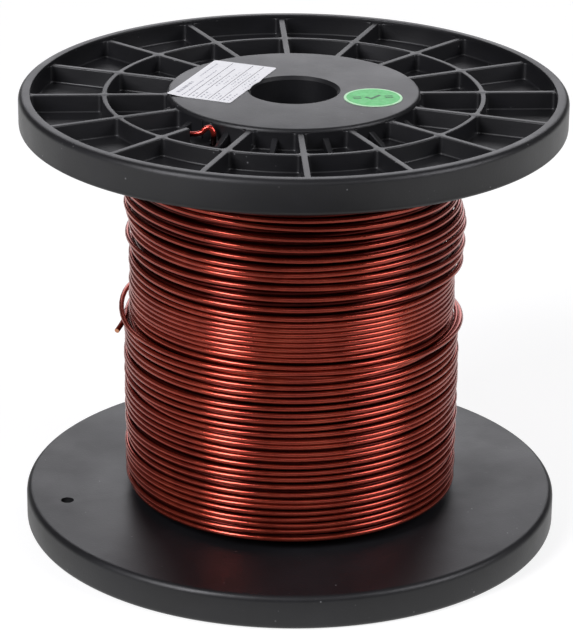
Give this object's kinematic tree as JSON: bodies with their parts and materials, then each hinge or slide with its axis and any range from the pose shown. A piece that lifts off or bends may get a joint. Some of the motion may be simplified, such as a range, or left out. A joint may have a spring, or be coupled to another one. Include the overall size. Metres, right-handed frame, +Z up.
{
  "type": "wire spool",
  "caption": "Black plastic spool with two ribbed round flanges, a spindle hole through its axis and red enamelled copper wire wound on its barrel.",
  "frame": {"origin": "centre of the bottom face, on the spool's axis, at the level it stands on", "axes": "+Z up along the spool's axis; -Y the front, the side seen in the picture; +X to the right of it"},
  "size_m": [0.165, 0.165, 0.1391],
  "materials": {
    "spool_plastic": "satin moulded plastic, fine texture, light scuffs",
    "enamelled_wire": "glossy red enamel over copper",
    "label_paper": "matt printed paper",
    "sticker_green": "satin printed sticker"
  },
  "bodies": {
    "root": {"lower_flange": "spool_plastic", "upper_flange": "spool_plastic", "barrel": "spool_plastic", "arbor_tube": "spool_plastic", "inner_winding": "enamelled_wire", "outer_winding": "enamelled_wire", "wire_start_end": "enamelled_wire", "wire_finish_end": "enamelled_wire", "paper_label": "label_paper", "round_sticker": "sticker_green"}
  },
  "joints": []
}
